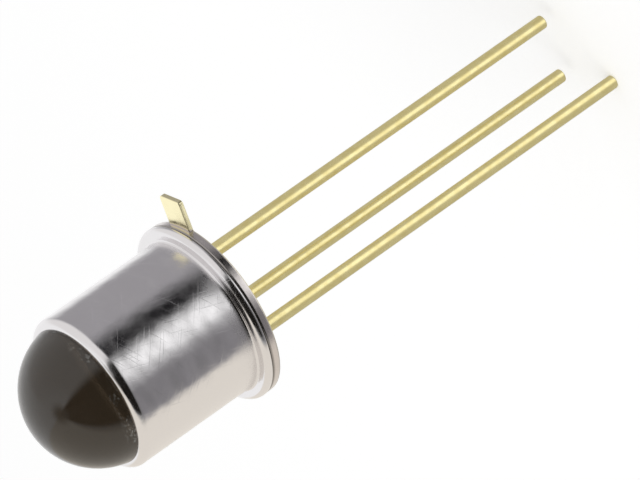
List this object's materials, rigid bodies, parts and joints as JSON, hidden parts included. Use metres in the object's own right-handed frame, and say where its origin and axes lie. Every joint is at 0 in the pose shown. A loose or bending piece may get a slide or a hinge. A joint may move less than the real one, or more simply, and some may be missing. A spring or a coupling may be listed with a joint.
{
  "type": "phototransistor",
  "caption": "Metal-can phototransistor: drawn nickel-plated cap with a domed dark glass lens on a gold-plated glass-sealed header with an index tab and long wire leads.",
  "frame": {"origin": "centre of the seating plane, which is the flat underside of the header flange, on the axis of the can", "axes": "+Z along the can's axis, out through the lens, with the leads hanging towards -Z; +X from the axis to the collector lead, -X to the emitter lead, -Y to the base lead, and the index tab at 135 degrees from +X"},
  "size_m": [0.0055, 0.0055, 0.0199],
  "materials": {
    "nickel_plate": "bright nickel plate over drawn metal, with fine handling scratches",
    "lens_glass": "fire-polished dark daylight-filtering glass",
    "gold_plate": "thin pale gold plate over nickel-iron-cobalt sealing alloy",
    "sealing_glass": "dark fired sealing glass",
    "gold_solder": "dull gold-silicon eutectic",
    "silicon": "polished silicon",
    "gold_wire": "drawn gold bond wire"
  },
  "bodies": {
    "root": {"cap": "nickel_plate", "lens": "lens_glass", "header_shell": "gold_plate", "header_glass": "sealing_glass", "emitter_lead": "gold_plate", "base_lead": "gold_plate", "collector_lead": "gold_plate", "die_attach": "gold_solder", "chip": "silicon", "emitter_wire": "gold_wire", "base_wire": "gold_wire"}
  },
  "joints": []
}
